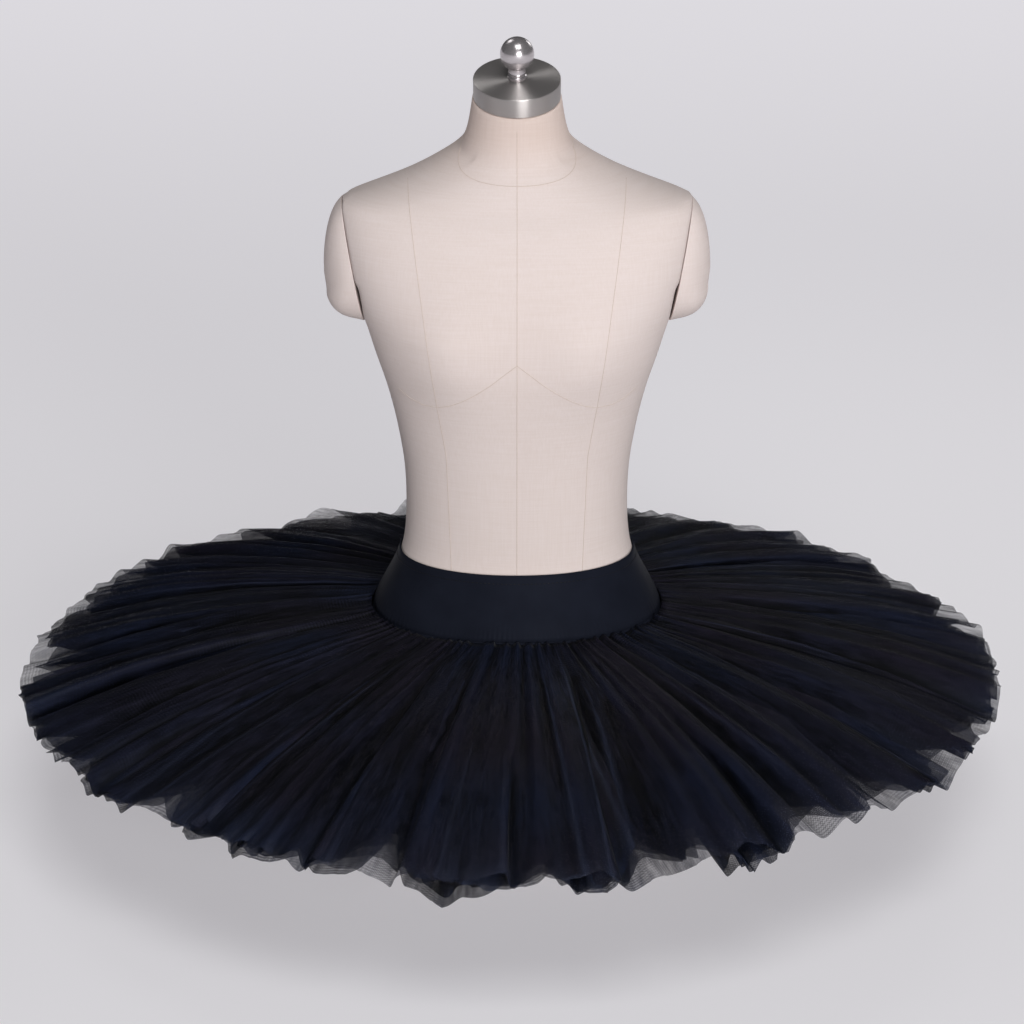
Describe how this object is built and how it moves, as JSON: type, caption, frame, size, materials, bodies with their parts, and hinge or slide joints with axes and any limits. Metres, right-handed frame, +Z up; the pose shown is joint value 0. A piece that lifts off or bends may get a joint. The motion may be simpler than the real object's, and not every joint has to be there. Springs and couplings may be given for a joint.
{
  "type": "ballet tutu on a dress form",
  "caption": "Flat plate-shaped practice tutu with a shaped waistband and gathered net skirts, on a limbless torso dress form with shoulder pads and a neck plate.",
  "frame": {"origin": "the middle of the dress form's flat underside, on the surface it stands on; the middle of the body is x = 0", "axes": "+Z up; the garment's front faces -Y; +X is the wearer's left"},
  "size_m": [1.041, 0.9803, 0.8397],
  "materials": {
    "satin": "matte black satin",
    "net": "stiff black tulle net",
    "linen": "tight plain-weave linen cover",
    "plate_steel": "brushed",
    "finial_steel": "polished"
  },
  "bodies": {
    "root": {"waistband": "satin", "hip_yoke": "satin", "net_skirt_1_top": "net", "net_skirt_2": "net", "net_skirt_3": "net", "net_skirt_4_short": "net", "net_skirt_5_shortest": "net", "form_torso": "linen", "shoulder_pad_left": "linen", "shoulder_pad_right": "linen", "neck_plate": "plate_steel", "ball_finial": "finial_steel"}
  },
  "joints": []
}
